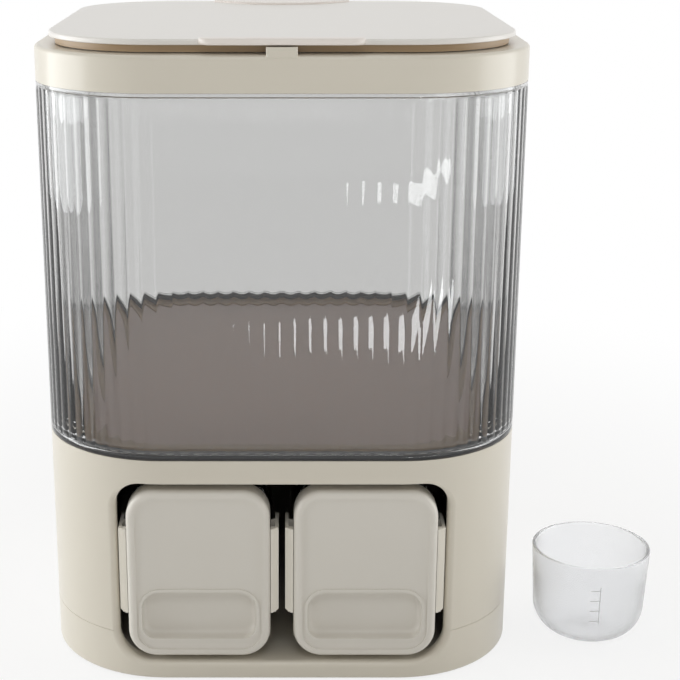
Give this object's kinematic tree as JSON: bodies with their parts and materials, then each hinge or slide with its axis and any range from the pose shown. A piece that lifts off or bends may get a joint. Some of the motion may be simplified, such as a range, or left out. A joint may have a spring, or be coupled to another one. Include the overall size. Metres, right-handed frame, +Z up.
{
  "type": "kitchen grain bin with canister drawers",
  "caption": "Countertop grain bin with a clear reeded hopper, a hinged lid and slide-out lidded canisters in the base, with a loose measuring cup.",
  "frame": {"origin": "centre of the footprint on the counter, on the middle foot's underside", "axes": "+Z up, -Y towards the front with the canister drawers, +X to the right seen from the front"},
  "size_m": [0.3752, 0.285, 0.3813],
  "materials": {
    "casing_cream": "smooth satin gloss, moulded",
    "lid_white": "smooth satin",
    "liner_warm": "smooth satin",
    "trim_blush": "smooth satin",
    "canister_cream": "fine satin",
    "clear_plastic": "polished, clear",
    "cup_plastic": "milky clear",
    "deck_taupe": "matte",
    "seal_silicone": "translucent matte",
    "foot_rubber": "matte",
    "steel": "zinc plated"
  },
  "bodies": {
    "base": {"base_tray": "casing_cream", "tray_floor": "casing_cream", "canister_rails": "casing_cream", "base_housing": "casing_cream", "housing_screws": "steel", "rubber_feet": "foot_rubber", "hopper_deck": "deck_taupe", "hopper": "clear_plastic", "collar": "casing_cream", "hinge_pin": "steel"},
    "lid": {"lid_shell": "lid_white", "lid_liner": "liner_warm", "lid_seal": "seal_silicone", "grip_lip": "trim_blush", "hinge_cover": "trim_blush"},
    "drawer_left": {"drawer_box_left": "clear_plastic"},
    "drawer_right": {"drawer_box_right": "clear_plastic"},
    "canister_lid_left": {"drawer_lid_left": "canister_cream", "drawer_seal_left": "seal_silicone"},
    "canister_lid_right": {"drawer_lid_right": "canister_cream", "drawer_seal_right": "seal_silicone"},
    "clip_left_outer": {"drawer_clip_left_outer": "canister_cream"},
    "clip_left_inner": {"drawer_clip_left_inner": "canister_cream"},
    "clip_right_outer": {"drawer_clip_right_outer": "canister_cream"},
    "clip_right_inner": {"drawer_clip_right_inner": "canister_cream"},
    "cup": {"measuring_cup": "cup_plastic"}
  },
  "joints": [
    {"name": "lid_hinge", "type": "hinge", "parent": "base", "child": "lid", "pos_m": [0, 0.1372, 0.3753], "axis": [-1, 0, 0], "range_deg": [0, 95]},
    {"name": "drawer_left_slide", "type": "slide", "parent": "base", "child": "drawer_left", "axis": [0, -1, 0], "range_m": [0, 0.27]},
    {"name": "drawer_right_slide", "type": "slide", "parent": "base", "child": "drawer_right", "axis": [0, -1, 0], "range_m": [0, 0.27]},
    {"name": "canister_lid_left_off", "type": "slide", "parent": "drawer_left", "child": "canister_lid_left", "axis": [0, -1, 0], "range_m": [0, 0.06]},
    {"name": "canister_lid_right_off", "type": "slide", "parent": "drawer_right", "child": "canister_lid_right", "axis": [0, -1, 0], "range_m": [0, 0.06]},
    {"name": "clip_left_outer_turn", "type": "hinge", "parent": "canister_lid_left", "child": "clip_left_outer", "pos_m": [-0.09175, -0.1385, 0.07], "axis": [0, 0, 1], "range_deg": [0, 4]},
    {"name": "clip_left_inner_turn", "type": "hinge", "parent": "canister_lid_left", "child": "clip_left_inner", "pos_m": [-0.00665, -0.1385, 0.07], "axis": [0, 0, -1], "range_deg": [0, 4]},
    {"name": "clip_right_outer_turn", "type": "hinge", "parent": "canister_lid_right", "child": "clip_right_outer", "pos_m": [0.09175, -0.1385, 0.07], "axis": [0, 0, -1], "range_deg": [0, 4]},
    {"name": "clip_right_inner_turn", "type": "hinge", "parent": "canister_lid_right", "child": "clip_right_inner", "pos_m": [0.00665, -0.1385, 0.07], "axis": [0, 0, 1], "range_deg": [0, 4]},
    {"name": "cup_lift", "type": "slide", "parent": "base", "child": "cup", "axis": [0, 0, 1], "range_m": [0, 0.15]}
  ]
}
